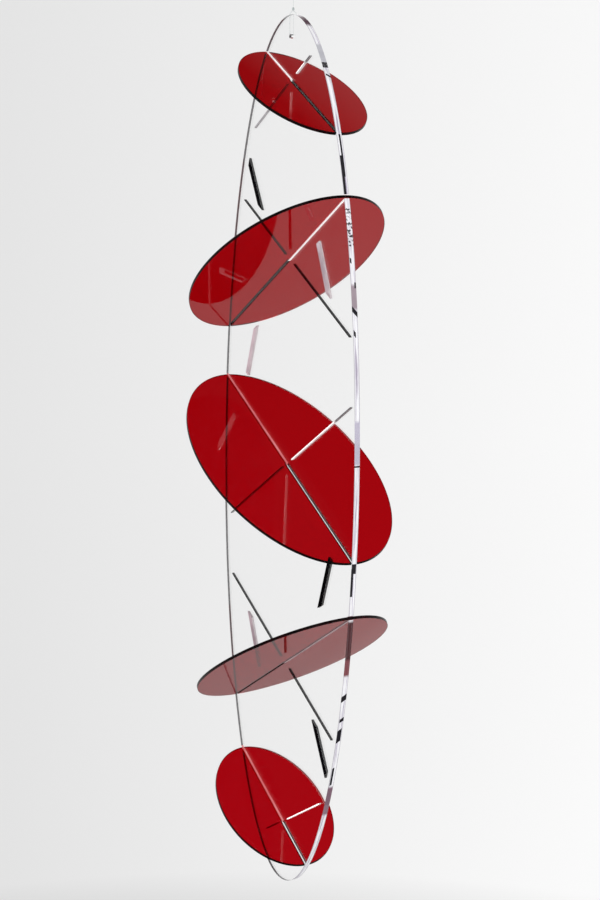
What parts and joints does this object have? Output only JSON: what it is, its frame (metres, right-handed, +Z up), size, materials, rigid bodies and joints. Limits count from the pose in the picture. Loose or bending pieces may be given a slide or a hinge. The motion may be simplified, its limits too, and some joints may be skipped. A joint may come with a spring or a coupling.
{
  "type": "hanging mobile sculpture",
  "caption": "Hanging mobile: an upright clear acrylic blade with see-through red ellipses slotted across it at alternating tilts, hung from a fine thread.",
  "frame": {"origin": "inside top of the thread's hanging loop, where a hook carries it", "axes": "+Z up; the clear blade stands in the XZ plane, with its faces towards -Y and +Y; the first, third and fifth discs fall towards +X"},
  "size_m": [0.266, 0.193, 0.9437],
  "materials": {
    "clear_acrylic": "clear cast acrylic sheet, polished faces and edges",
    "red_acrylic": "transparent red cast acrylic sheet, polished",
    "clear_thread": "clear nylon monofilament"
  },
  "bodies": {
    "root": {"clear_blade": "clear_acrylic", "disc_1_top": "red_acrylic", "disc_2_upper": "red_acrylic", "disc_3_middle": "red_acrylic", "disc_4_lower": "red_acrylic", "disc_5_bottom": "red_acrylic", "thread_round_rim": "clear_thread", "rim_knot": "clear_thread", "thread_up": "clear_thread", "loop_knot": "clear_thread", "thread_loop": "clear_thread"}
  },
  "joints": []
}
